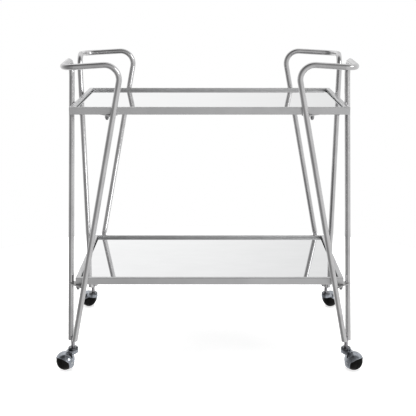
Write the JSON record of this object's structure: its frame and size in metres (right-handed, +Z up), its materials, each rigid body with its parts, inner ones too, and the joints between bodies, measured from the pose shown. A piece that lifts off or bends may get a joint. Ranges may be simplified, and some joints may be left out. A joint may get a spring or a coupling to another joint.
{
  "type": "bar cart on wheels",
  "caption": "Rectangular bar cart with mirrored upper and lower trays, splayed bent-tube corner legs that rise into cornered handles, and hooded ball casters.",
  "frame": {"origin": "on the floor, under the middle of the cart", "axes": "+Z up, X along the long side of the trays, Y along their depth"},
  "size_m": [0.8736, 0.5662, 0.8656],
  "materials": {
    "satin_tube": "satin nickel plated round tube",
    "satin_rail": "satin silver powder over rectangular tube",
    "satin_plate": "satin silver flat bar",
    "zinc_steel": "bright zinc plate",
    "bolt_steel": "dull zinc plate on domed cap nuts",
    "chrome": "polished chrome",
    "mirror_glass": "silvered mirror glass with a bevelled edge",
    "black_board": "black painted fibreboard",
    "wheel_plastic": "satin black moulding",
    "tyre_rubber": "matte black rubber",
    "swivel_plastic": "black nylon"
  },
  "bodies": {
    "cart": {"back_right_corner_tube": "satin_tube", "back_right_stem_socket": "satin_tube", "back_right_upper_bracket": "satin_plate", "back_right_lower_bracket": "satin_plate", "back_right_caster_stem": "zinc_steel", "back_left_corner_tube": "satin_tube", "back_left_stem_socket": "satin_tube", "back_left_upper_bracket": "satin_plate", "back_left_lower_bracket": "satin_plate", "back_left_caster_stem": "zinc_steel", "front_left_corner_tube": "satin_tube", "front_left_stem_socket": "satin_tube", "front_left_upper_bracket": "satin_plate", "front_left_lower_bracket": "satin_plate", "front_left_caster_stem": "zinc_steel", "front_right_corner_tube": "satin_tube", "front_right_stem_socket": "satin_tube", "front_right_upper_bracket": "satin_plate", "front_right_lower_bracket": "satin_plate", "front_right_caster_stem": "zinc_steel", "upper_tray_front_rail": "satin_rail", "upper_tray_back_rail": "satin_rail", "upper_tray_left_rail": "satin_rail", "upper_tray_right_rail": "satin_rail", "upper_tray_ledge": "satin_plate", "upper_tray_board": "black_board", "upper_tray_mirror": "mirror_glass", "lower_tray_front_rail": "satin_rail", "lower_tray_back_rail": "satin_rail", "lower_tray_left_rail": "satin_rail", "lower_tray_right_rail": "satin_rail", "lower_tray_ledge": "satin_plate", "lower_tray_board": "black_board", "lower_tray_mirror": "mirror_glass", "bracket_studs": "zinc_steel", "bracket_cap_nuts": "bolt_steel", "bracket_spring_washers": "zinc_steel", "bracket_washers": "zinc_steel", "tray_weld_nuts": "zinc_steel", "lower_corner_blocks": "zinc_steel", "caster_swivel_caps": "chrome", "caster_swivel_washers": "swivel_plastic"},
    "back_right_caster": {"back_right_caster_hood": "chrome", "back_right_caster_axle": "zinc_steel"},
    "back_right_wheel": {"back_right_wheel_core": "wheel_plastic", "back_right_wheel_tyre": "tyre_rubber"},
    "back_left_caster": {"back_left_caster_hood": "chrome", "back_left_caster_axle": "zinc_steel"},
    "back_left_wheel": {"back_left_wheel_core": "wheel_plastic", "back_left_wheel_tyre": "tyre_rubber"},
    "front_left_caster": {"front_left_caster_hood": "chrome", "front_left_caster_axle": "zinc_steel"},
    "front_left_wheel": {"front_left_wheel_core": "wheel_plastic", "front_left_wheel_tyre": "tyre_rubber"},
    "front_right_caster": {"front_right_caster_hood": "chrome", "front_right_caster_axle": "zinc_steel"},
    "front_right_wheel": {"front_right_wheel_core": "wheel_plastic", "front_right_wheel_tyre": "tyre_rubber"}
  },
  "joints": [
    {"name": "back_right_swivel", "type": "hinge", "parent": "cart", "child": "back_right_caster", "pos_m": [0.39019, 0.23269, 0.047], "axis": [0, 0, 1], "continuous": true},
    {"name": "back_right_wheel_spin", "type": "hinge", "parent": "back_right_caster", "child": "back_right_wheel", "pos_m": [0.40986, 0.25742, 0.026], "axis": [-0.7826, 0.6225, 0], "continuous": true},
    {"name": "back_left_swivel", "type": "hinge", "parent": "cart", "child": "back_left_caster", "pos_m": [-0.39019, 0.23269, 0.047], "axis": [0, 0, 1], "continuous": true},
    {"name": "back_left_wheel_spin", "type": "hinge", "parent": "back_left_caster", "child": "back_left_wheel", "pos_m": [-0.40986, 0.25742, 0.026], "axis": [-0.7826, -0.6225, 0], "continuous": true},
    {"name": "front_left_swivel", "type": "hinge", "parent": "cart", "child": "front_left_caster", "pos_m": [-0.39019, -0.23269, 0.047], "axis": [0, 0, 1], "continuous": true},
    {"name": "front_left_wheel_spin", "type": "hinge", "parent": "front_left_caster", "child": "front_left_wheel", "pos_m": [-0.40986, -0.25742, 0.026], "axis": [0.7826, -0.6225, 0], "continuous": true},
    {"name": "front_right_swivel", "type": "hinge", "parent": "cart", "child": "front_right_caster", "pos_m": [0.39019, -0.23269, 0.047], "axis": [0, 0, 1], "continuous": true},
    {"name": "front_right_wheel_spin", "type": "hinge", "parent": "front_right_caster", "child": "front_right_wheel", "pos_m": [0.40986, -0.25742, 0.026], "axis": [0.7826, 0.6225, 0], "continuous": true}
  ]
}
